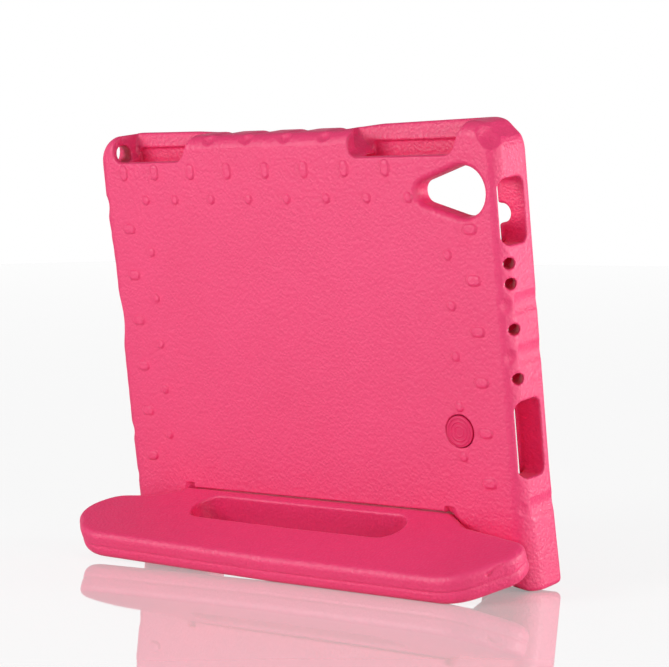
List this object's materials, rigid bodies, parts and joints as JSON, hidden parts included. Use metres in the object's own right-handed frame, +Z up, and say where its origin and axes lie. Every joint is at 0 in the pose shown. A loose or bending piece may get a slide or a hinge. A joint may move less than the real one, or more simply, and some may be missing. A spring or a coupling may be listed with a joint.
{
  "type": "kids tablet case",
  "caption": "Thick moulded foam tray that protects a tablet, with a hinged foam handle that folds out behind as a stand foot.",
  "frame": {"origin": "middle of the footprint of the standing part, on the floor", "axes": "+Z up, +X along the length of the case toward the camera window's end, -Y the way the back of the case faces"},
  "size_m": [0.2942, 0.083, 0.2287],
  "materials": {
    "foam": "matt closed-cell foam with a fine wrinkled moulded skin",
    "disc_plastic": "hard satin plastic with fine turned rings",
    "pin_plastic": "plain hard plastic"
  },
  "bodies": {
    "case": {"case_shell": "foam", "back_disc": "disc_plastic", "hinge_pin_left": "pin_plastic", "hinge_pin_right": "pin_plastic"},
    "handle": {"stand_handle": "foam"}
  },
  "joints": [
    {"name": "handle_fold", "type": "hinge", "parent": "case", "child": "handle", "pos_m": [0, 0.02942, 0.02446], "axis": [1, 0, 0], "range_deg": [0, 73.4]}
  ]
}
